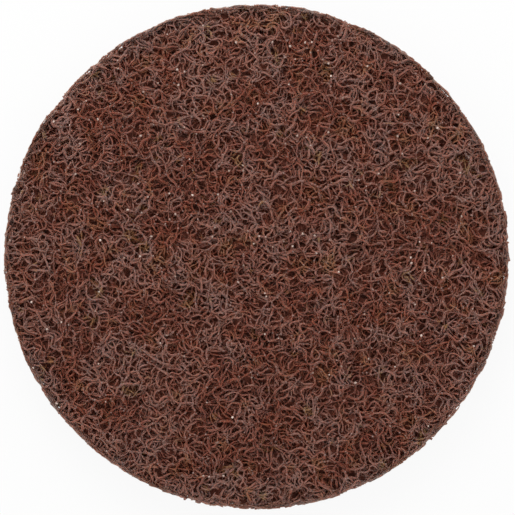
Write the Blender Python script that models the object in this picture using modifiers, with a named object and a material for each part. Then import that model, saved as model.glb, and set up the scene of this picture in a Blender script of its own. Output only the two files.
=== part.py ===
"""Surface conditioning disc, 50 mm: a needled nylon fibre web bonded to a woven scrim, die-cut round.

Metres, +Z up. The disc lies on its scrim side with the abrasive face up. The origin is the centre of the
plane that the scrim's yarns rest on.
"""

import math

import bmesh
import bpy
import numpy as np
from mathutils import Vector
from mathutils.geometry import delaunay_2d_cdt

# Driving sizes of the disc
DISC_DIAMETER = 0.050
WEB_THICKNESS = 0.0052
BOND_GAP = 0.0003  # resin line between the web and the scrim

# The die presses the edge in while it cuts, and the lofty web springs back out past the scrim
TOP_EDGE_RADIUS = 0.0005
SCRIM_SETBACK = 0.0002
RIM_STEPS = 96
ARC_STEPS = 2

# Plain-woven scrim: each yarn shows as a flat crown, then dives under the next crossing yarn
YARN_PITCH = 0.00254  # ten yarns to the inch each way
YARN_WIDTH = 0.0011
CROWN_SETBACK = 0.00044  # a crown is this much shorter than the pitch
DIVE_DEPTH = 0.0002
DIVE_CLEARANCE = 0.00014  # from the lowest point of a dive to the side of the yarn that it passes under
OPENING_DEPTH = 0.0003
OPENING_FLOOR = 0.0002  # fibre and resin that fill an opening behind the yarns

# Fibre relief of the abrasive face: crests of crimped fibre bundles that cross over open pores
PORE_DEPTH = 0.0010
PORE_SPACING = 0.0013
PORE_CLEARANCE = 0.0005  # no pore floor comes closer to a crest than this
PORE_UNEVENNESS = 0.3  # of the pore depth
LOWEST_CREST = 0.55  # of the pore depth
BUNDLE_LENGTH = 0.0095
BUNDLE_SPREAD = 0.0039  # from one bundle's middle to the next one's
BUNDLE_STEP = 0.0007
CRIMP_LENGTH = 0.0052
CRIMP_SWING = 1.1  # radians to each side of the bundle's heading
RISE_LENGTH = 0.0070  # from one high stretch of a bundle to the next
HEADING_DRIFT = 0.15  # radians in one step
FIBRE_SEED = 7

# Looks, with the colours as linear red, green and blue
FIBRE_COLOUR = (0.114, 0.047, 0.034)
FIBRE_ROUGHNESS = 0.85
YARN_COLOUR = (0.150, 0.080, 0.055)
YARN_ROUGHNESS = 0.8

CUT_MARGIN = 0.001  # how far a blank or the die reaches past what is cut
MERGE_DISTANCE = 0.00001
SHARP_ANGLE = math.radians(40)

# Heights that follow
SCRIM_TOP = OPENING_DEPTH + OPENING_FLOOR
WEB_BOTTOM = SCRIM_TOP + BOND_GAP
WEB_TOP = WEB_BOTTOM + WEB_THICKNESS
DISC_RADIUS = DISC_DIAMETER / 2
BLANK_HALF_SIDE = DISC_RADIUS + CUT_MARGIN


def clear_scene():
    for obj in list(bpy.data.objects):
        bpy.data.objects.remove(obj)


def new_collection(name):
    collection = bpy.data.collections.new(name)
    bpy.context.scene.collection.children.link(collection)
    return collection


def make_material(name, colour, roughness):
    material = bpy.data.materials.new(name)
    material.use_nodes = True
    shader = material.node_tree.nodes["Principled BSDF"]
    shader.inputs["Base Color"].default_value = (*colour, 1.0)
    shader.inputs["Roughness"].default_value = roughness
    shader.inputs["Metallic"].default_value = 0.0
    return material


def object_from(bm, name, collection):
    mesh = bpy.data.meshes.new(name)
    bm.to_mesh(mesh)
    bm.free()
    obj = bpy.data.objects.new(name, mesh)
    collection.objects.link(obj)
    return obj


def close_blank(bm, far_height):
    """Turns an open relief sheet into a block, with straight sides and one flat face at far_height."""
    border = [edge for edge in bm.edges if edge.is_boundary]
    wall = bmesh.ops.extrude_edge_only(bm, edges=border)["geom"]
    for item in wall:
        if isinstance(item, bmesh.types.BMVert):
            item.co.z = far_height
    rim = [edge for edge in bm.edges if edge.is_boundary]
    bmesh.ops.contextual_create(bm, geom=rim)
    bmesh.ops.recalc_face_normals(bm, faces=bm.faces)


def die_profile():
    """Half section of the space that the die leaves, from the axis above the disc to the axis below."""
    above = WEB_TOP + CUT_MARGIN
    shoulder = WEB_TOP - TOP_EDGE_RADIUS
    inner = DISC_RADIUS - TOP_EDGE_RADIUS
    points = [(0.0, above), (inner, above)]
    for i in range(ARC_STEPS + 1):
        angle = math.radians(90) * (1 - i / ARC_STEPS)
        points.append(
            (
                inner + TOP_EDGE_RADIUS * math.cos(angle),
                shoulder + TOP_EDGE_RADIUS * math.sin(angle),
            )
        )
    scrim_radius = DISC_RADIUS - SCRIM_SETBACK
    points.append((DISC_RADIUS, WEB_BOTTOM + WEB_THICKNESS / 2))
    points.append((scrim_radius, WEB_BOTTOM - BOND_GAP / 2))
    points.append((scrim_radius, -CUT_MARGIN))
    points.append((0.0, -CUT_MARGIN))
    return points


def make_die(collection):
    """The round cutter that both layers are intersected with."""
    bm = bmesh.new()
    profile = [bm.verts.new((radius, 0.0, height)) for radius, height in die_profile()]
    for start, end in zip(profile, profile[1:]):
        bm.edges.new((start, end))
    die = object_from(bm, "cutting_die", collection)
    turn = die.modifiers.new("turn", "SCREW")
    turn.axis = "Z"
    turn.angle = 2 * math.pi
    turn.steps = RIM_STEPS
    turn.render_steps = RIM_STEPS
    turn.use_merge_vertices = True
    turn.merge_threshold = MERGE_DISTANCE
    turn.use_smooth_shade = True
    die.hide_render = True
    die.display_type = "WIRE"
    return die


def die_cut(blank, die):
    cut = blank.modifiers.new("die_cut", "BOOLEAN")
    cut.operation = "INTERSECT"
    cut.solver = "EXACT"
    cut.object = die


def crimped_bundle(rng, middle):
    """One bundle of fibres as rows of x, y and height over the pore floor. It swings, rises and dips."""
    steps = round(BUNDLE_LENGTH / BUNDLE_STEP)
    turns = 2 * math.pi * np.arange(steps) * BUNDLE_STEP
    swing_phase, rise_phase, first_heading = rng.uniform(0, 2 * math.pi, 3)
    drift = np.cumsum(rng.normal(0, HEADING_DRIFT, steps))
    swing = CRIMP_SWING * np.sin(turns / CRIMP_LENGTH + swing_phase)
    heading = first_heading + drift + swing
    stride = BUNDLE_STEP * np.column_stack((np.cos(heading), np.sin(heading)))
    route = np.cumsum(stride, axis=0)
    rise = 0.5 + 0.5 * np.sin(turns / RISE_LENGTH + rise_phase)
    height = PORE_DEPTH * (LOWEST_CREST + (1 - LOWEST_CREST) * rise)
    return np.column_stack((middle + route - route[steps // 2], height))


def even_spread(rng, half_side, spacing):
    """Places all over a square, in rows that are shaken until no row shows."""
    count = round(2 * half_side / spacing) + 1
    line = np.linspace(-half_side, half_side, count)
    places = np.array([(x, y) for x in line for y in line])
    return places + rng.uniform(-spacing / 3, spacing / 3, places.shape)


def distances(places, others):
    """How far each place is from each of the others in plan, one row for a place."""
    return np.linalg.norm(places[:, None, :2] - others[None, :, :2], axis=2)


def felt_crests(rng):
    """Points along all the bundles that lie on the blank, and the pairs of them that a crest joins."""
    points = []
    runs = []
    for middle in even_spread(rng, BLANK_HALF_SIDE, BUNDLE_SPREAD):
        previous = None
        for point in crimped_bundle(rng, middle):
            inside = max(abs(point[0]), abs(point[1])) < BLANK_HALF_SIDE
            if inside and previous is not None:
                runs.append((previous, len(points)))
            previous = len(points) if inside else None
            if inside:
                points.append(point)
    return np.array(points), runs


def felt_pores(rng, crests):
    """Low points between the crests, and a row of them around the blank."""
    places = even_spread(rng, BLANK_HALF_SIDE + PORE_SPACING, PORE_SPACING)
    clear = distances(places, crests).min(axis=1) > PORE_CLEARANCE
    floor = PORE_DEPTH * rng.uniform(0, PORE_UNEVENNESS, len(places))
    return np.column_stack((places, floor))[clear]


def crossing_height(place, crests):
    """Where two bundles cross, the crest has the height of the upper one."""
    near = distances(np.array([place]), crests)[0] < BUNDLE_STEP
    return crests[near, 2].max()


def make_abrasive_web(collection, die):
    """The lofty web: crests and pores on its working face, and a flat side that is bonded to the scrim."""
    rng = np.random.default_rng(FIBRE_SEED)
    crests, runs = felt_crests(rng)
    points = np.vstack((crests, felt_pores(rng, crests)))
    plan = [Vector(point[:2]) for point in points]
    spots, _, facets, sources, _, _ = delaunay_2d_cdt(plan, runs, [], 0, MERGE_DISTANCE)
    bm = bmesh.new()
    verts = []
    for spot, source in zip(spots, sources):
        stands = points[source, 2].max() if source else crossing_height(spot, crests)
        verts.append(bm.verts.new((spot.x, spot.y, WEB_TOP - PORE_DEPTH + stands)))
    for facet in facets:
        bm.faces.new([verts[i] for i in facet])
    close_blank(bm, WEB_BOTTOM)
    web = object_from(bm, "abrasive_web", collection)
    die_cut(web, die)
    return web


def shows_x_yarn(column, row):
    """Whether the yarn along X is the upper one at a crossing: the two directions take turns."""
    return (column + row) % 2 == 0


def shape_crown(crossing):
    """Gives a crossing's facet the size and direction of the yarn that shows there."""
    middle = crossing.calc_center_median() / YARN_PITCH
    column, row = round(middle.x), round(middle.y)
    crown = YARN_PITCH - CROWN_SETBACK
    along_x = shows_x_yarn(column, row)
    length, width = (crown, YARN_WIDTH) if along_x else (YARN_WIDTH, crown)
    for vert in crossing.verts:
        side_x = math.copysign(length / 2, vert.co.x - middle.x * YARN_PITCH)
        side_y = math.copysign(width / 2, vert.co.y - middle.y * YARN_PITCH)
        vert.co.x = column * YARN_PITCH + side_x
        vert.co.y = row * YARN_PITCH + side_y


def is_between_yarns(place):
    """Whether a coordinate in pitches lies nearer to the middle between two yarns than to a yarn."""
    return abs(place - round(place)) > 0.25


def shape_between(vert):
    """Sinks a point between the crowns: at an opening, or where the yarn between two crossings dives."""
    place = vert.co / YARN_PITCH
    if is_between_yarns(place.x) and is_between_yarns(place.y):
        vert.co.z = OPENING_DEPTH
        return
    axis = 0 if is_between_yarns(place.x) else 1
    before = math.floor(place[axis])
    beside = round(place[1 - axis])
    crown_before = shows_x_yarn(before, beside) == (axis == 0)
    side = YARN_WIDTH / 2 + DIVE_CLEARANCE
    if crown_before:
        vert.co[axis] = (before + 1) * YARN_PITCH - side
    else:
        vert.co[axis] = before * YARN_PITCH + side
    vert.co.z = DIVE_DEPTH


def make_woven_scrim(collection, die):
    """The plain weave, relief side down. Its far side is flat, where resin and fibre fill it."""
    bm = bmesh.new()
    cells = 2 * math.ceil(BLANK_HALF_SIDE / YARN_PITCH) + 1
    half = cells * YARN_PITCH / 2
    bmesh.ops.create_grid(bm, x_segments=cells, y_segments=cells, size=half)
    inset = YARN_PITCH / 4
    bmesh.ops.inset_individual(bm, faces=list(bm.faces), thickness=inset)
    spans = [edge for edge in bm.edges if edge.calc_length() > YARN_PITCH - inset]
    bmesh.ops.subdivide_edges(bm, edges=spans, cuts=1, use_single_edge=True)
    crowns = [facet for facet in bm.faces if len(facet.verts) == 4]
    between = set(bm.verts) - {vert for crown in crowns for vert in crown.verts}
    for crown in crowns:
        shape_crown(crown)
    for vert in between:
        shape_between(vert)
    close_blank(bm, SCRIM_TOP)
    scrim = object_from(bm, "woven_scrim", collection)
    die_cut(scrim, die)
    return scrim


def finish(obj, material):
    obj.data.materials.append(material)
    obj.data.shade_smooth()
    obj.data.set_sharp_from_angle(angle=SHARP_ANGLE)


def main():
    clear_scene()
    disc = new_collection("surface_conditioning_disc")
    cutters = new_collection("cutters")
    fibre = make_material("resin_bonded_nylon_fibre", FIBRE_COLOUR, FIBRE_ROUGHNESS)
    yarn = make_material("resin_coated_scrim_yarn", YARN_COLOUR, YARN_ROUGHNESS)
    die = make_die(cutters)
    finish(make_abrasive_web(disc, die), fibre)
    finish(make_woven_scrim(disc, die), yarn)


main()
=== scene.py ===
import math

import bmesh
import bpy
import numpy as np
from mathutils import Matrix, Vector, noise
from mathutils.bvhtree import BVHTree


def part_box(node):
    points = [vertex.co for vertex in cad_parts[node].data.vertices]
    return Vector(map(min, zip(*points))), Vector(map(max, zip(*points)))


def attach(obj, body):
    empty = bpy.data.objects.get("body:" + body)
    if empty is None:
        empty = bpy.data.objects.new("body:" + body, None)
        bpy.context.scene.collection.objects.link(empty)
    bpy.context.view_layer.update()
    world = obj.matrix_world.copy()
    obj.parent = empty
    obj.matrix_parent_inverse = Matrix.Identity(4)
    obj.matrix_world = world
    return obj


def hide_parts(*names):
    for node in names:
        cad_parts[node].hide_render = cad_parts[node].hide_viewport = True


# Looks of the surface conditioning disc: single crimped fibres and grains on the working face
# and the cut edge, a matted core behind them, and the yarns of the woven scrim. Metres, in the
# frame's own axes.
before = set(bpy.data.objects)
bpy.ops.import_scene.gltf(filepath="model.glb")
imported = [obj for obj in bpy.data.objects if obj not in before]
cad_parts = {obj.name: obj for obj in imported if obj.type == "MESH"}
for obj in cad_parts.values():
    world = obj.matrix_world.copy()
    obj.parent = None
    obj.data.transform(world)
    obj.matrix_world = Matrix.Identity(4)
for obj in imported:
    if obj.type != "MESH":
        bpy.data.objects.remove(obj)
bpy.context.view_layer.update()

MM = 0.001
web_low, web_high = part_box("abrasive_web")
_, scrim_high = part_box("woven_scrim")
DISC_RADIUS = web_high.x
WEB_TOP = web_high.z
HALF_WAY_UP = web_low.z + (WEB_TOP - web_low.z) / 2
SCRIM_RADIUS = scrim_high.x
SCRIM_TOP = scrim_high.z

# The die's section, as in the solids: rounded at the face, and of full width from half way up
TOP_EDGE_RADIUS = 0.5 * MM
WALL_HEIGHTS = (0.0, SCRIM_TOP, HALF_WAY_UP, WEB_TOP + 1 * MM)
WALL_RADII = (SCRIM_RADIUS, SCRIM_RADIUS, DISC_RADIUS, DISC_RADIUS)

# Coarse nylon staple, with its resin and grain about 0.2 mm thick and crimped every 2 to 3.5 mm
FIBRE_RADIUS = 0.112 * MM
COAT_SWELLS = (0.6, 1.15)  # shares of that radius that the fibres have
KNOBBLINESS = 0.28  # how much the share changes from point to point
FIBRE_SIDES = 3
FIBRE_STEP = 0.34 * MM
FIBRE_POINTS = 13
CRIMP_LENGTHS = (1.9 * MM, 3.6 * MM)
CRIMP_SWINGS = (0.35, 1.25)  # radians to either side of a fibre's heading
HEADING_DRIFT = 0.25  # radians from point to point
SMALLEST_GAP = 0.02 * MM  # between two points of a fibre

# The coat darkens and lightens from point to point and in clouds, in shares of NETWORK_DEPTH
PATCHINESS = 0.06
CLOUDINESS = 0.55
CLOUD_SIZE = 1.6 * MM
WIDE_CLOUD_SIZE = 4 * MM

# The lots that the web was blended from, as places across the ramps of tints
LOT_MIDDLE = 0.47
LOT_SIZE = 1.4 * MM
LOT_DRIFT = 0.52
WIDE_LOT_SIZE = 2 * LOT_SIZE
WIDE_LOT_DRIFT = 0.45
LOT_JITTER = 0.07

# Small steps that keep each face of a strand's own map from closing up, and the map's margin
TINT_STEP = 0.004
DEPTH_STEP = 0.01
MAP_MARGIN = 0.002

# Working face: an open network of fibres, and under it a layer of them. Crests are how far
# below the face a fibre's highest places lie, and rises how far it goes down from there.
FACE_FIBRES = 7200
FACE_PIECES = 4
FACE_OVERRUN = 1.6 * MM  # past the die's cut, so that fibres reach it from both sides
NETWORK_DEPTH = 1.5 * MM
NETWORK_SHARE = 0.42  # of the fibres are in the network
NETWORK_CRESTS = (0.0 * MM, 0.3 * MM)
NETWORK_RISES = (0.04 * MM, 0.3 * MM)
LAYER_CRESTS = (0.35 * MM, 0.9 * MM)
LAYER_RISES = (0.1 * MM, 0.35 * MM)
LOOP_LENGTHS = (2.2 * MM, 4.2 * MM)
PORE_SIZE = 0.65 * MM
WIDE_PORE_SIZE = 2.7 * PORE_SIZE
WIDE_PORE_SHARE = 0.5
PORE_GAIN = 1.1
PORE_MIDDLE = 0.45
PORE_SAG = 0.45 * MM
RELIEF_KEPT = 0.5  # of the solid's relief
RELIEF_CELL = 0.5 * MM
RELIEF_SMOOTHINGS = 2

# How dark the painted shade makes a place: partly by its depth under the crests near by, and the
# rest by its depth under the highest crests. The rim gets less painted shade, because the die
# leaves its fibres standing free in the light.
NEAR_CREST_SHARE = 0.4
HIGHEST_CRESTS = WEB_TOP - 0.3 * MM
FREE_RIM = 1.8 * MM
FREE_RIM_RAMP = 1 * MM
FREE_RIM_GAIN = 0.42

# Cut edge: fibres in layers on the wall, and each sixth of them up at the rim
EDGE_FIBRES = 2300
EDGE_LEVELS = (0.2 * MM, WEB_TOP - 0.9 * MM)
EDGE_SINKS = (0.0 * MM, 0.4 * MM)  # behind the wall
EDGE_REACH = (0.2 * MM, WEB_TOP - 0.3 * MM)
EDGE_HEADINGS = 0.35  # radians off the level
EDGE_SWINGS = (0.5, 1.3)
EDGE_CLIMB = 0.6  # share of the crimp that goes up and down
EDGE_SLOPE = 0.2 * MM
EDGE_BOW = 0.15 * MM
RIM_EVERY = 6
RIM_DROPS = (0.45 * MM, 0.9 * MM)  # below the web's top

# Core: a bed under the face's fibres, a roughened wall behind the edge's, and a flat underside
BED_DEPTHS = (1.0 * MM, 1.5 * MM)  # under clumps of fibres, and in the pores
DEEPEST_PORE = 1.3
PORE_STEEPNESS = 1.5
CORE_TOP = WEB_TOP - 1 * MM
CORE_FLOOR = 0.34 * MM
CORE_SETBACK = 0.3 * MM
CORE_RINGS = 56
CORE_WALL_RINGS = 10
CORE_FLOOR_RINGS = 8
CORE_STEPS = 300
LUMP_SIZE = 0.9 * MM
SMALL_LUMP_SIZE = 0.4 * MM
BED_LUMPS = 0.1 * MM
WALL_LUMPS = 0.22 * MM

# Scrim: ten yarns to the inch each way, each of six filaments side by side
YARN_PITCH = 2.54 * MM
YARN_WIDTH = 1.1 * MM
YARN_LEVEL = 0.25 * MM
YARN_SWING = 0.125 * MM
YARN_CLIPPING = 1.5  # of the wave, which runs level over and under each crossing
YARN_OVERRUN = 1 * MM
YARN_STEPS = 3  # to a pitch
YARN_WANDER = 0.015 * MM
YARN_TINTS = 0.2
FILAMENTS = 6
FILAMENT_RADIUS = 0.1 * MM
FILAMENT_SIDES = 4
FILAMENT_KNOBBLINESS = 0.05
FILAMENT_TWIST = 0.03 * MM
TWIST_LENGTH = 3 * MM
TWIST_TURN = 1.7  # radians from one filament to the next
FILAMENT_DIP = 0.03 * MM  # of a yarn's middle filaments
FILAMENT_JITTER = 0.006 * MM
FILAMENT_TINTS = 0.1
FILAMENT_PATCHES = 0.05
LOWEST_FILAMENT = FILAMENT_RADIUS + 0.01 * MM

# Tufts: short fibres that fill the scrim's openings
TUFT_FIBRES = 900
TUFT_RADIUS = 0.09 * MM
TUFT_POINTS = 7
TUFT_STEP = 0.25 * MM
TUFT_SPREAD = SCRIM_RADIUS - 0.4 * MM
TUFT_LIMIT = SCRIM_RADIUS - 0.6 * MM
TUFT_GATHERING = 0.45  # share of its distance from the opening's middle that a tuft keeps
TUFT_LEVELS = (0.12 * MM, 0.35 * MM)
TUFT_ARCH = 0.35 * MM
# TUFT_SHADE is painted shade that every tuft gets, in shares of NETWORK_DEPTH
TUFT_SHADE = 0.2

# Grains, coarser than most of a medium grade's so that single ones can be seen
GRAINS = 4200
GRAIN_RADII = (0.06 * MM, 0.115 * MM)
# The glints are grains whose pale colour is a painted highlight
GLINTS = 280
GLINT_RADII = (0.04 * MM, 0.15 * MM)
GLINTS_TOWARD_TOP = 0.3  # more of them toward the lamp's side
GRAIN_JAGS = (-0.4, 0.25)
GRAIN_RIM = 0.3 * MM
GRAIN_DEPTH = 0.5 * MM  # below the crests near by, as deep as the spray reached
GRAIN_END_POINTS = 2  # of a fibre, left bare at each end
GRAIN_ASIDE = 0.7
GRAIN_LIFT = 0.6

# Studio
PAPER_REACH = 0.6
PAPER_SEEN_WHITE = 0.9  # share of the paper that is plain white to the eye, under the shadow
WORLD_SHARE = 0.7  # of the light
LAMP_PLACE = Vector((-0.02, 0.1, 0.125))
LAMP_SIZE = 0.1
CAMERA_PLACE = (0.0001, -0.00008, 0.1473)
CAMERA_LENS = 100.0


def linear(code):
    """A colour as sRGB hex turned to linear red, green and blue."""
    parts = [int(code[i : i + 2], 16) / 255 for i in (0, 2, 4)]
    return [p / 12.92 if p <= 0.04045 else ((p + 0.055) / 1.055) ** 2.4 for p in parts] + [1.0]


def add(material, kind, settings=None, links=None):
    """Adds a node of that kind, with its settings and what its inputs are linked from."""
    tree = material.node_tree
    node = tree.nodes.new("ShaderNode" + kind)
    for name, value in (settings or {}).items():
        if isinstance(name, int) or name in node.inputs:
            node.inputs[name].default_value = value
        else:
            setattr(node, name, value)
    for name, source in (links or {}).items():
        tree.links.new(source, node.inputs[name])
    return node


def blank_material(name):
    material = bpy.data.materials.new(name)
    material.use_nodes = True
    material.node_tree.nodes.clear()
    return material


def finish_material(material, shader):
    add(material, "OutputMaterial", links={"Surface": shader.outputs[0]})
    return material


def ramp(material, factor, stops):
    """A colour ramp through the stops, each a place and an sRGB hex colour."""
    node = add(material, "ValToRGB", links={"Fac": factor})
    band = node.color_ramp
    for element, (place, code) in zip(band.elements, (stops[0], stops[-1])):
        element.position = place
        element.color = linear(code)
    for place, code in stops[1:-1]:
        band.elements.new(place).color = linear(code)
    return node


def bumped(material, height, strength, distance):
    """The surface's normal, with that height as bumps."""
    settings = {"Strength": strength, "Distance": distance}
    return add(material, "Bump", settings, {"Height": height}).outputs["Normal"]


def resin_coated_fibre(name, near, deep, roughness):
    """Crimped nylon staple, sprayed with phenolic resin and aluminium oxide grain and cured.

    The resin gives a satin gloss and greyish highlights, the grain a crusty skin. Colours
    follow the piece's own map: across it is the fibre's tint, and up it is how deep in the web
    the fibre lies, which darkens it toward the deep colours as painted shade.
    """
    material = blank_material(name)
    place = add(material, "UVMap", {"uv_map": "OFBake"})
    split = add(material, "SeparateXYZ", links={"Vector": place.outputs["UV"]})
    tints = ramp(material, split.outputs["X"], near)
    shades = ramp(material, split.outputs["X"], deep)
    # Painted shade: the deeper a fibre lies, the more its colour goes to the darker deep ramp
    depth = add(
        material,
        "MapRange",
        {"interpolation_type": "SMOOTHSTEP", "From Min": -0.35, "From Max": 0.62},
        {"Value": split.outputs["Y"]},
    )
    colour = add(
        material,
        "Mix",
        {"data_type": "RGBA"},
        {
            "Factor": depth.outputs["Result"],
            "A": tints.outputs["Color"],
            "B": shades.outputs["Color"],
        },
    )
    where = add(material, "TexCoord")
    # Grit of about 0.12 mm in the resin's skin
    crust = add(
        material,
        "TexNoise",
        {"Scale": 1 / (0.12 * MM), "Detail": 3.0, "Roughness": 0.6},
        {"Vector": where.outputs["Object"]},
    )
    gloss = add(
        material,
        "MapRange",
        {
            "From Min": 0.3,
            "From Max": 0.7,
            "To Min": roughness - 0.12,
            "To Max": roughness + 0.15,
        },
        {"Value": crust.outputs["Fac"]},
    )
    shader = add(
        material,
        "BsdfPrincipled",
        {
            "IOR": 1.5,
            "Specular IOR Level": 0.25,
            "Subsurface Weight": 0.85,
            "Subsurface Radius": (1.0, 0.65, 0.5),
            "Subsurface Scale": 0.45 * MM,
        },
        {
            "Base Color": colour.outputs["Result"],
            "Roughness": gloss.outputs["Result"],
            "Normal": bumped(material, crust.outputs["Fac"], 0.35, 0.03 * MM),
        },
    )
    return finish_material(material, shader)


def crushed_grain(name, dark, pale, roughness):
    """Crushed aluminium oxide: glassy facets that glint where they face the light."""
    material = blank_material(name)
    where = add(material, "TexCoord")
    # Cells of 0.5 mm, wider than a grain, so that most grains have one tone each
    lot = add(
        material, "TexVoronoi", {"Scale": 1 / (0.5 * MM)}, {"Vector": where.outputs["Object"]}
    )
    split = add(material, "SeparateColor", links={"Color": lot.outputs["Color"]})
    tone = ramp(material, split.outputs["Red"], ((0.0, dark), (1.0, pale)))
    # Ripples of 0.06 mm, as a broken facet has, but coarser than real ones
    haze = add(
        material,
        "TexNoise",
        {"Scale": 1 / (0.06 * MM), "Detail": 2.0},
        {"Vector": where.outputs["Object"]},
    )
    shader = add(
        material,
        "BsdfPrincipled",
        {"IOR": 1.76, "Roughness": roughness},
        {
            "Base Color": tone.outputs["Color"],
            "Normal": bumped(material, haze.outputs["Fac"], 0.15, 0.01 * MM),
        },
    )
    return finish_material(material, shader)


def matted_resin(name):
    """The web's inside, where fibres, resin and grain lie too dense to tell apart: dull, and
    darker the deeper it lies, which is painted shade."""
    material = blank_material(name)
    where = add(material, "TexCoord")
    # Matted fibres of 0.3 mm
    mat = add(
        material,
        "TexNoise",
        {"Scale": 1 / (0.3 * MM), "Detail": 5.0, "Roughness": 0.65, "Distortion": 0.8},
        {"Vector": where.outputs["Object"]},
    )
    split = add(material, "SeparateXYZ", links={"Vector": where.outputs["Object"]})
    # Painted shade: the lower the bed lies, as in the pores, the darker its colour
    height = add(
        material,
        "MapRange",
        {
            "From Min": WEB_TOP - 2.4 * MM,
            "From Max": WEB_TOP - BED_DEPTHS[0],
            "To Min": -0.5,
            "To Max": 0.1,
        },
        {"Value": split.outputs["Z"]},
    )
    level = add(
        material, "Math", {"operation": "ADD"}, {0: mat.outputs["Fac"], 1: height.outputs["Result"]}
    )
    stops = ((0.0, "3A201A"), (0.3, "56281A"), (0.5, "6C3424"), (0.75, "804432"))
    tone = ramp(material, level.outputs[0], stops)
    shader = add(
        material,
        "BsdfPrincipled",
        {"IOR": 1.5, "Roughness": 0.9},
        {
            "Base Color": tone.outputs["Color"],
            "Normal": bumped(material, mat.outputs["Fac"], 0.9, 0.25 * MM),
        },
    )
    return finish_material(material, shader)


def object_from(source, name, material, smooth=True):
    """A piece of that name from a mesh, or from a bmesh that it uses up."""
    mesh = source
    if isinstance(source, bmesh.types.BMesh):
        mesh = bpy.data.meshes.new(name)
        source.to_mesh(mesh)
        source.free()
    obj = bpy.data.objects.new(name, mesh)
    bpy.context.scene.collection.objects.link(obj)
    mesh.materials.clear()
    mesh.materials.append(material)
    if smooth:
        mesh.shade_smooth()
    else:
        mesh.shade_flat()
    return obj


def relief_map():
    """Heights of the solid's working face on a square grid, smoothed to what the open network
    follows."""
    tree = BVHTree.FromObject(
        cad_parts["abrasive_web"], bpy.context.evaluated_depsgraph_get()
    )
    count = round(2 * DISC_RADIUS / RELIEF_CELL) + 1
    line = np.linspace(-DISC_RADIUS, DISC_RADIUS, count)
    above = WEB_TOP + 1 * MM
    heights = np.full((count, count), np.nan)
    for row, y in enumerate(line):
        for column, x in enumerate(line):
            if math.hypot(x, y) < DISC_RADIUS - TOP_EDGE_RADIUS:
                hit = tree.ray_cast(Vector((x, y, above)), Vector((0, 0, -1)))[0]
                heights[row, column] = hit.z
    relief = np.nan_to_num(heights - np.nanmean(heights))
    for _ in range(RELIEF_SMOOTHINGS):
        for axis in (0, 1):
            relief = (np.roll(relief, 1, axis) + 2 * relief + np.roll(relief, -1, axis)) / 4
    return relief


RELIEF = relief_map()
FACE_LEVEL = WEB_TOP - RELIEF_KEPT * RELIEF.max()


def edge_fall(x, y):
    """How far the working face drops over its rounded edge."""
    past = np.clip(np.hypot(x, y) - (DISC_RADIUS - TOP_EDGE_RADIUS), 0, TOP_EDGE_RADIUS)
    return TOP_EDGE_RADIUS - np.sqrt(TOP_EDGE_RADIUS**2 - past**2)


def face_height(x, y):
    """How high the network of the working face reaches at a place, down over the rounded edge."""
    cells = len(RELIEF) - 1
    across = np.clip((x + DISC_RADIUS) / RELIEF_CELL, 0, cells - 1e-6)
    along = np.clip((y + DISC_RADIUS) / RELIEF_CELL, 0, cells - 1e-6)
    column, row = across.astype(int), along.astype(int)
    fx, fy = across - column, along - row
    near = RELIEF[row, column] * (1 - fx) + RELIEF[row, column + 1] * fx
    far = RELIEF[row + 1, column] * (1 - fx) + RELIEF[row + 1, column + 1] * fx
    return FACE_LEVEL + RELIEF_KEPT * (near * (1 - fy) + far * fy) - edge_fall(x, y)


def wall_radius(z):
    return np.interp(z, WALL_HEIGHTS, WALL_RADII)


def crimped_paths(
    rng, middles, points=FIBRE_POINTS, step=FIBRE_STEP, headings=None, swings=CRIMP_SWINGS
):
    """Plan paths of crimped fibres: a row of points for each, centred on its middle."""
    count = len(middles)
    along = np.arange(points) * step
    phase = rng.uniform(0, 2 * math.pi, (count, 1))
    if headings is None:
        headings = rng.uniform(0, 2 * math.pi, count)
    crimp = rng.uniform(*CRIMP_LENGTHS, (count, 1))
    swing = rng.uniform(*swings, (count, 1))
    drift = np.cumsum(rng.normal(0, HEADING_DRIFT, (count, points)), axis=1)
    bearing = headings[:, None] + drift + swing * np.sin(2 * math.pi * along / crimp + phase)
    route = np.cumsum(step * np.stack((np.cos(bearing), np.sin(bearing)), axis=-1), axis=1)
    route -= route.mean(axis=1, keepdims=True)
    return middles[:, None, :] + route


def spread_over_disc(rng, count, radius):
    """Even places over a disc: a sunflower pattern, shaken until no spiral shows."""
    index = np.arange(count) + 0.5
    distance = radius * np.sqrt(index / count)
    angle = index * math.pi * (3 - math.sqrt(5))
    places = np.column_stack((distance * np.cos(angle), distance * np.sin(angle)))
    shake = radius * math.sqrt(math.pi / count) * 0.6
    places += rng.uniform(-shake, shake, places.shape)
    rng.shuffle(places)
    return places


def apart(run):
    """The run without any point that nearly touches the one before it."""
    gaps = np.linalg.norm(np.diff(run, axis=0), axis=1)
    return run[np.concatenate(([True], gaps > SMALLEST_GAP))]


def cut_by_die(path):
    """The runs of a fibre that lie inside the die's cut, each ended on the cut itself."""
    over = np.hypot(path[:, 0], path[:, 1]) - wall_radius(path[:, 2])
    inside = over <= 0
    runs = []
    run = []
    for i in range(len(path)):
        crosses = i > 0 and inside[i] != inside[i - 1]
        if crosses:
            share = over[i - 1] / (over[i - 1] - over[i])
            run.append(path[i - 1] + share * (path[i] - path[i - 1]))
            if not inside[i]:
                runs.append(run)
                run = []
        if inside[i]:
            run.append(path[i])
    runs.append(run)
    spaced = [apart(np.array(r)) for r in runs if r]
    return [r for r in spaced if len(r) > 2]


def strand_section(radius, sides):
    """The closed outline that a strand is drawn through."""
    outline = bpy.data.curves.new("strand_section", "CURVE")
    loop = outline.splines.new("POLY")
    loop.points.add(sides - 1)
    for point, turn in zip(loop.points, np.arange(sides) * 2 * math.pi / sides):
        point.co = (radius * math.cos(turn), radius * math.sin(turn), 0, 1)
    loop.use_cyclic_u = True
    section = bpy.data.objects.new("strand_section", outline)
    bpy.context.scene.collection.objects.link(section)
    return section


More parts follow.
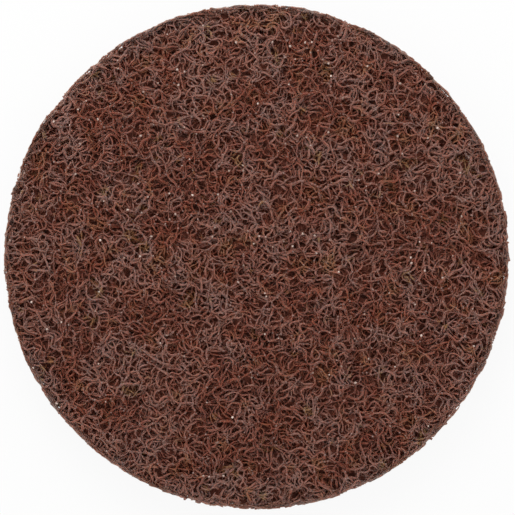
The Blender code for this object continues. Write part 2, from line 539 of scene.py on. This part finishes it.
def strand_mesh(rng, name, paths, radius, knobbly, sides):
    """A mesh of capped strands along the paths, in the paths' order."""
    curve = bpy.data.curves.new(name, "CURVE")
    curve.dimensions = "3D"
    curve.bevel_mode = "OBJECT"
    curve.bevel_object = strand_section(radius, sides)
    curve.use_fill_caps = False
    for path in paths:
        strand = curve.splines.new("POLY")
        strand.points.add(len(path) - 1)
        strand.points.foreach_set("co", np.column_stack((path, np.ones(len(path)))).ravel())
        swell = rng.uniform(*COAT_SWELLS)
        knobs = rng.normal(0, knobbly, len(path)).clip(-2 * knobbly, 2 * knobbly)
        strand.points.foreach_set("radius", swell + knobs)
    maker = bpy.data.objects.new(name, curve)
    bpy.context.scene.collection.objects.link(maker)
    bpy.context.view_layer.update()
    shaped = maker.evaluated_get(bpy.context.evaluated_depsgraph_get())
    mesh = bpy.data.meshes.new_from_object(shaped)
    bpy.data.objects.remove(curve.bevel_object)
    bpy.data.objects.remove(maker)
    bpy.data.curves.remove(curve)
    bm = bmesh.new()
    bm.from_mesh(mesh)
    ends = [edge for edge in bm.edges if edge.is_boundary]
    bmesh.ops.holes_fill(bm, edges=ends, sides=sides)
    bmesh.ops.recalc_face_normals(bm, faces=bm.faces)
    bm.to_mesh(mesh)
    bm.free()
    return mesh


def tubes(
    rng,
    name,
    paths,
    tints,
    radius,
    depth_of,
    material,
    knobbly=KNOBBLINESS,
    sides=FIBRE_SIDES,
):
    """One piece of strands along the paths. Its own map holds each fibre's tint and depth."""
    mesh = strand_mesh(rng, name, paths, radius, knobbly, sides)
    place = np.empty(len(mesh.vertices) * 3, np.float32)
    mesh.vertices.foreach_get("co", place)
    place = place.reshape(-1, 3).astype(float)
    ring = np.concatenate([np.arange(len(path)) for path in paths])
    tint = np.repeat(np.concatenate(tints), sides)
    tint += TINT_STEP * np.tile(np.arange(sides), len(ring))
    coat = coat_marks(rng, paths)
    depth = depth_of(place) + np.repeat(coat + DEPTH_STEP * (ring % 2), sides)
    while mesh.uv_layers:
        mesh.uv_layers.remove(mesh.uv_layers[0])
    layer = mesh.uv_layers.new(name="OFBake")
    corner = np.empty(len(mesh.loops), np.int32)
    mesh.loops.foreach_get("vertex_index", corner)
    spots = np.column_stack((tint, depth)).clip(MAP_MARGIN, 1 - MAP_MARGIN)
    layer.uv.foreach_set("vector", spots[corner].astype(np.float32).ravel())
    return object_from(mesh, name, material)


def cloud(path, size):
    """Smooth noise along a path, with patches of that size."""
    return np.array([noise.noise(Vector(point) / size) for point in path])


def lot_tints(rng, paths):
    """A tint for each point: the lots that the web was blended from lie in cloudy patches."""
    return [
        LOT_MIDDLE
        + LOT_DRIFT * cloud(path, LOT_SIZE)
        + WIDE_LOT_DRIFT * cloud(path, WIDE_LOT_SIZE)
        + rng.normal(0, LOT_JITTER, len(path))
        for path in paths
    ]


def coat_marks(rng, paths):
    """How much darker or lighter the coat is at each point: patchy along a fibre, and cloudy
    over the disc."""
    return np.concatenate(
        [
            rng.normal(0, PATCHINESS, len(path))
            + CLOUDINESS * (cloud(path, CLOUD_SIZE) + cloud(path, WIDE_CLOUD_SIZE))
            for path in paths
        ]
    )


def face_depth(place):
    """How deep each place lies in the working face, in shares of NETWORK_DEPTH: the depth that sets
    its painted shade, lessened at the free rim.
    """
    x, y, z = place.T
    own = face_height(x, y) - z
    level = HIGHEST_CRESTS - edge_fall(x, y) - z
    # Less painted shade near the rim, where the die leaves the fibres standing free
    free = np.clip((np.hypot(x, y) - DISC_RADIUS + FREE_RIM) / FREE_RIM_RAMP, 0, 1)
    depth = NEAR_CREST_SHARE * own + (1 - NEAR_CREST_SHARE) * level
    return depth / NETWORK_DEPTH - FREE_RIM_GAIN * free


def pores(x, y):
    """How open the network is, from 0 in a clump of fibres to 1 in a pore."""
    openness = [
        noise.noise(Vector((u, v, 0)) / PORE_SIZE)
        + WIDE_PORE_SHARE * noise.noise(Vector((u, v, 0)) / WIDE_PORE_SIZE)
        for u, v in zip(np.ravel(x), np.ravel(y))
    ]
    return PORE_GAIN * np.array(openness).reshape(np.shape(x)) + PORE_MIDDLE


def working_face(material):
    """The open network that does the work: crimped fibres that rise to the face and dive
    again. Gives its pieces, and the fibres' whole paths."""
    rng = np.random.default_rng(11)
    middles = spread_over_disc(rng, FACE_FIBRES, DISC_RADIUS + FACE_OVERRUN)
    plan = crimped_paths(rng, middles)
    x, y = plan[..., 0], plan[..., 1]
    along = np.arange(FIBRE_POINTS) * FIBRE_STEP
    sag = PORE_SAG * pores(x, y).clip(0, 1) ** 2
    each = (FACE_FIBRES, 1)
    network = rng.uniform(0, 1, each) < NETWORK_SHARE
    crest = np.where(
        network, rng.uniform(*NETWORK_CRESTS, each), rng.uniform(*LAYER_CRESTS, each)
    )
    crest = crest + rng.uniform(0, 1, each) * sag
    rise = np.where(network, rng.uniform(*NETWORK_RISES, each), rng.uniform(*LAYER_RISES, each))
    length = rng.uniform(*LOOP_LENGTHS, each)
    phase = rng.uniform(0, 2 * math.pi, each)
    loops = rise * (1 + np.cos(2 * math.pi * along / length + phase))
    height = face_height(x, y) - FIBRE_RADIUS - crest - loops
    whole = np.dstack((plan, height))
    pieces = []
    for lot in range(FACE_PIECES):
        paths = [run for path in whole[lot::FACE_PIECES] for run in cut_by_die(path)]
        name = f"working_face_fibres_{lot + 1}"
        tints = lot_tints(rng, paths)
        pieces.append(tubes(rng, name, paths, tints, FIBRE_RADIUS, face_depth, material))
    return pieces, whole


def cut_edge(material):
    """The die-cut side: fibres that lie along the wall in layers, and the ends that the die
    cut."""
    rng = np.random.default_rng(23)
    around = rng.uniform(0, 2 * math.pi, EDGE_FIBRES)
    level = rng.uniform(*EDGE_LEVELS, EDGE_FIBRES)
    level[::RIM_EVERY] = WEB_TOP - rng.uniform(*RIM_DROPS, len(level[::RIM_EVERY]))
    sunk = rng.uniform(*EDGE_SINKS, EDGE_FIBRES)
    sunk[::RIM_EVERY] = 0
    headings = rng.normal(0, EDGE_HEADINGS, EDGE_FIBRES)
    middles = np.zeros((EDGE_FIBRES, 2))
    plan = crimped_paths(rng, middles, headings=headings, swings=EDGE_SWINGS)
    span = np.linspace(-1, 1, FIBRE_POINTS)
    angle = around[:, None] + plan[..., 0] / DISC_RADIUS
    height = (level[:, None] + EDGE_CLIMB * plan[..., 1]).clip(*EDGE_REACH)
    slope = rng.normal(0, EDGE_SLOPE, (EDGE_FIBRES, 1))
    inward = sunk[:, None] + slope * span + EDGE_BOW * span**2
    radius = wall_radius(height) - FIBRE_RADIUS - inward
    whole = np.dstack((radius * np.cos(angle), radius * np.sin(angle), height))
    paths = [run for path in whole for run in cut_by_die(path)]

    # Painted shade: a fibre darkens the further it lies behind the wall
    def edge_depth(place):
        return (wall_radius(place[:, 2]) - np.hypot(place[:, 0], place[:, 1])) / NETWORK_DEPTH

    tints = lot_tints(rng, paths)
    return tubes(rng, "cut_edge_fibres", paths, tints, FIBRE_RADIUS, edge_depth, material)


def matted_core(material):
    """The dense inside of the web, seen only between fibres: spun to the die's section, its
    top then laid under the fibres of the face, and its wall roughened."""
    bm = bmesh.new()
    section = [(0.0, CORE_TOP)]
    for share in np.linspace(0.03, 1.0, CORE_RINGS):
        section.append((DISC_RADIUS * share - CORE_SETBACK, CORE_TOP))
    for z in np.linspace(CORE_TOP, CORE_FLOOR, CORE_WALL_RINGS)[1:]:
        section.append((wall_radius(z) - CORE_SETBACK, z))
    for share in np.linspace(0.9, 0.1, CORE_FLOOR_RINGS):
        section.append(((SCRIM_RADIUS - CORE_SETBACK) * share, CORE_FLOOR))
    section.append((0.0, CORE_FLOOR))
    rim = [bm.verts.new((radius, 0, height)) for radius, height in section]
    edges = [bm.edges.new(pair) for pair in zip(rim, rim[1:])]
    bmesh.ops.spin(
        bm,
        geom=rim + edges,
        cent=(0, 0, 0),
        axis=(0, 0, 1),
        angle=2 * math.pi,
        steps=CORE_STEPS,
        use_merge=True,
    )
    bmesh.ops.remove_doubles(bm, verts=bm.verts, dist=0.001 * MM)
    bmesh.ops.recalc_face_normals(bm, faces=bm.faces)
    shallow, deep = BED_DEPTHS
    nearly = 0.01 * MM
    for vert in bm.verts:
        lump = noise.noise(vert.co / LUMP_SIZE) + 0.5 * noise.noise(vert.co / SMALL_LUMP_SIZE)
        if vert.co.z > CORE_TOP - nearly:
            x, y = np.array([vert.co.x]), np.array([vert.co.y])
            pore = pores(x, y)[0].clip(0, DEEPEST_PORE) ** PORE_STEEPNESS
            depth = shallow + (deep - shallow) * pore
            vert.co.z = face_height(x, y)[0] - depth + BED_LUMPS * lump
        elif vert.co.z > CORE_FLOOR + nearly:
            vert.co += vert.normal * lump * WALL_LUMPS
    return object_from(bm, "matted_core", material)


def yarn_height(along, row, direction):
    """Height of a yarn's middle: low where it shows on the back, high where it dives under a
    crossing."""
    phase = math.pi * (along / YARN_PITCH + row + direction)
    swing = np.clip(YARN_CLIPPING * np.cos(phase), -1, 1)
    return YARN_LEVEL - YARN_SWING * swing


def scrim_yarns(material):
    """The plain weave of the back: each yarn is a flat ribbon of filaments that goes over and
    under."""
    rng = np.random.default_rng(31)
    paths, tints = [], []
    rows = math.floor(SCRIM_RADIUS / YARN_PITCH)
    for direction in (0, 1):
        for row in range(-rows, rows + 1):
            offset = row * YARN_PITCH
            reach = math.sqrt((SCRIM_RADIUS + YARN_OVERRUN) ** 2 - offset**2)
            steps = round(2 * reach / (YARN_PITCH / YARN_STEPS)) + 1
            along = np.linspace(-reach, reach, steps)
            yarn_tint = 0.5 + YARN_TINTS * rng.normal()
            wander = np.cumsum(rng.normal(0, YARN_WANDER, steps))
            wander -= np.linspace(wander[0], wander[-1], steps)
            for number in range(FILAMENTS):
                share = (number - (FILAMENTS - 1) / 2) / (FILAMENTS - 1)
                turn = along / TWIST_LENGTH + number * TWIST_TURN + row
                spread = share * (YARN_WIDTH - 2 * FILAMENT_RADIUS)
                across = offset + spread + FILAMENT_TWIST * np.sin(turn) + wander
                dip = FILAMENT_DIP * (1 - 4 * share**2)
                jitter = rng.normal(0, FILAMENT_JITTER, steps)
                height = yarn_height(along, row, direction) - dip + jitter
                height = np.maximum(height, LOWEST_FILAMENT)
                columns = (along, across) if direction == 0 else (across, along)
                for run in cut_by_die(np.column_stack((*columns, height))):
                    tint = yarn_tint + rng.normal(0, FILAMENT_TINTS)
                    paths.append(run)
                    tints.append(tint + rng.normal(0, FILAMENT_PATCHES, len(run)))

    # Painted shade: a filament darkens the higher it goes into the web, as where it dives
    def yarn_depth(place):
        return place[:, 2] / SCRIM_TOP

    return tubes(
        rng,
        "woven_scrim_yarns",
        paths,
        tints,
        FILAMENT_RADIUS,
        yarn_depth,
        material,
        FILAMENT_KNOBBLINESS,
        FILAMENT_SIDES,
    )


def needled_tufts(material):
    """Fibres that the needles pushed through the scrim: short loops that fill the openings."""
    rng = np.random.default_rng(41)
    middles = spread_over_disc(rng, TUFT_FIBRES, TUFT_SPREAD)
    opening = (np.floor(middles / YARN_PITCH) + 0.5) * YARN_PITCH
    middles = opening + (middles - opening) * TUFT_GATHERING
    middles = middles[np.hypot(middles[:, 0], middles[:, 1]) < TUFT_LIMIT]
    plan = crimped_paths(rng, middles, TUFT_POINTS, TUFT_STEP)
    span = np.linspace(-1, 1, TUFT_POINTS)
    height = rng.uniform(*TUFT_LEVELS, (len(middles), 1)) + TUFT_ARCH * span**2
    paths = list(np.dstack((plan, height)))

    # Painted shade: a tuft darkens the higher it reaches into the web
    def tuft_depth(place):
        return TUFT_SHADE + place[:, 2] / NETWORK_DEPTH

    tints = lot_tints(rng, paths)
    return tubes(rng, "needled_tufts", paths, tints, TUFT_RADIUS, tuft_depth, material)


def grains(name, rng, places, sizes, material):
    """Crushed grains, each a jagged lump of a few facets."""
    bm = bmesh.new()
    for place, size in zip(places, sizes):
        made = bmesh.ops.create_icosphere(
            bm, subdivisions=1, radius=size, matrix=Matrix.Translation(place)
        )
        for vert in made["verts"]:
            vert.co += (vert.co - Vector(place)) * rng.uniform(*GRAIN_JAGS)
    return object_from(bm, name, material, smooth=False)


def grain_places(rng, fibres, count, toward_top):
    """Places on the upper side of the face's fibres, where the spray reached."""
    places = []
    while len(places) < count:
        fibre = rng.integers(len(fibres))
        spot = fibres[fibre, rng.integers(GRAIN_END_POINTS, FIBRE_POINTS - GRAIN_END_POINTS)]
        inside = math.hypot(spot[0], spot[1]) < DISC_RADIUS - GRAIN_RIM
        high = face_height(spot[0:1], spot[1:2])[0] - spot[2] < GRAIN_DEPTH
        # With toward_top, more grains toward the lamp's side, where the painted glints are
        wanted = rng.uniform() < 0.5 + toward_top * spot[1] / DISC_RADIUS
        if inside and high and wanted:
            side = rng.uniform(-1, 1, 2) * FIBRE_RADIUS * GRAIN_ASIDE
            lift = FIBRE_RADIUS * GRAIN_LIFT
            places.append((spot[0] + side[0], spot[1] + side[1], spot[2] + lift))
    return places


# Each fibre material takes the tints of its lots at the face, and darker ones deep in the web,
# which are painted shade
fibre = resin_coated_fibre(
    "resin_coated_nylon_fibre",
    (
        (0.05, "9E6E53"),
        (0.25, "9C695C"),
        (0.45, "986C60"),
        (0.62, "9A7268"),
        (0.78, "967069"),
        (0.95, "977555"),
    ),
    (
        (0.05, "814B33"),
        (0.25, "834735"),
        (0.45, "814737"),
        (0.62, "7F493B"),
        (0.78, "7C493E"),
        (0.95, "805031"),
    ),
    0.55,
)
cut_fibre = resin_coated_fibre(
    "die_cut_nylon_fibre",
    ((0.0, "94685A"), (0.5, "906C64"), (1.0, "987870")),
    ((0.0, "703F2E"), (0.5, "6C4538"), (1.0, "704B3C")),
    0.65,
)
yarn = resin_coated_fibre(
    "resin_stiffened_polyester_yarn",
    ((0.0, "8A5A44"), (0.5, "9C705A"), (1.0, "AC8670")),
    ((0.0, "5C3626"), (0.5, "6A4432"), (1.0, "78543E")),
    0.6,
)
brown_grain = crushed_grain("brown_aluminium_oxide_grain", "5A3024", "9C7468", 0.35)
# The pale colours of these grains are painted glints
pale_grain = crushed_grain("pale_grain_painted_glints", "8E6A5A", "EED6C8", 0.35)
mat = matted_resin("resin_matted_fibre")

face_pieces, face_paths = working_face(fibre)
edge = cut_edge(cut_fibre)
core = matted_core(mat)
scrim = scrim_yarns(yarn)
tufts = needled_tufts(fibre)

grain_rng = np.random.default_rng(53)
brown = grains(
    "abrasive_grains",
    grain_rng,
    grain_places(grain_rng, face_paths, GRAINS, 0.0),
    grain_rng.uniform(*GRAIN_RADII, GRAINS),
    brown_grain,
)
pale = grains(
    "bright_grains",
    grain_rng,
    grain_places(grain_rng, face_paths, GLINTS, GLINTS_TOWARD_TOP),
    grain_rng.uniform(*GLINT_RADII, GLINTS),
    pale_grain,
)

web_pieces = [*face_pieces, edge, core, tufts, brown, pale]
for piece in (*web_pieces, scrim):
    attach(piece, "root")
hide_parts("abrasive_web")
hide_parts("woven_scrim")


def studio_floor():
    """White paper under the disc: white to the eye, with the disc's faint shadow left on it."""
    material = blank_material("white_paper")
    eye = add(material, "LightPath").outputs
    either = add(
        material,
        "Math",
        {"operation": "MAXIMUM"},
        {0: eye["Is Camera Ray"], 1: eye["Is Glossy Ray"]},
    )
    seen = add(
        material,
        "Math",
        {"operation": "MAXIMUM"},
        {0: either.outputs[0], 1: eye["Is Transmission Ray"]},
    )
    share = add(
        material, "Math", {"operation": "MULTIPLY", 1: PAPER_SEEN_WHITE}, {0: seen.outputs[0]}
    )
    paper = add(material, "BsdfDiffuse", {"Color": (0.95, 0.95, 0.95, 1.0)})
    white = add(material, "Emission", {"Color": (1.0, 1.0, 1.0, 1.0), "Strength": 1.0})
    mixed = add(
        material,
        "MixShader",
        links={0: share.outputs[0], 1: paper.outputs[0], 2: white.outputs[0]},
    )
    finish_material(material, mixed)
    bm = bmesh.new()
    bmesh.ops.create_grid(bm, x_segments=1, y_segments=1, size=PAPER_REACH)
    floor = object_from(bm, "paper_floor", material)


def studio_light():
    """Even light from all round, and a soft lamp above the photo's upper edge. Together they
    light a level surface so that its colour renders as written."""
    world = bpy.data.worlds.new("studio")
    bpy.context.scene.world = world
    world.use_nodes = True
    background = world.node_tree.nodes["Background"]
    background.inputs["Color"].default_value = (1.0, 1.0, 1.0, 1.0)
    background.inputs["Strength"].default_value = WORLD_SHARE
    lamp = bpy.data.lights.new("soft_lamp", "AREA")
    lamp.shape = "SQUARE"
    lamp.size = LAMP_SIZE
    slant = LAMP_PLACE.normalized().z
    lamp.energy = (1 - WORLD_SHARE) * math.pi**2 * LAMP_PLACE.length_squared / slant
    obj = bpy.data.objects.new("soft_lamp", lamp)
    obj.location = LAMP_PLACE
    obj.rotation_euler = (-LAMP_PLACE).to_track_quat("-Z", "Y").to_euler()
    bpy.context.scene.collection.objects.link(obj)


def camera_above():
    """The photograph's view: straight down, the disc filling the frame."""
    data = bpy.data.cameras.new("camera_above")
    data.lens = CAMERA_LENS
    data.sensor_width = 36.0
    data.clip_start = 0.01
    camera = bpy.data.objects.new("camera_above", data)
    camera.location = CAMERA_PLACE
    bpy.context.scene.collection.objects.link(camera)
    bpy.context.scene.camera = camera


studio_floor()
studio_light()
camera_above()
bpy.context.scene.view_settings.view_transform = "Standard"
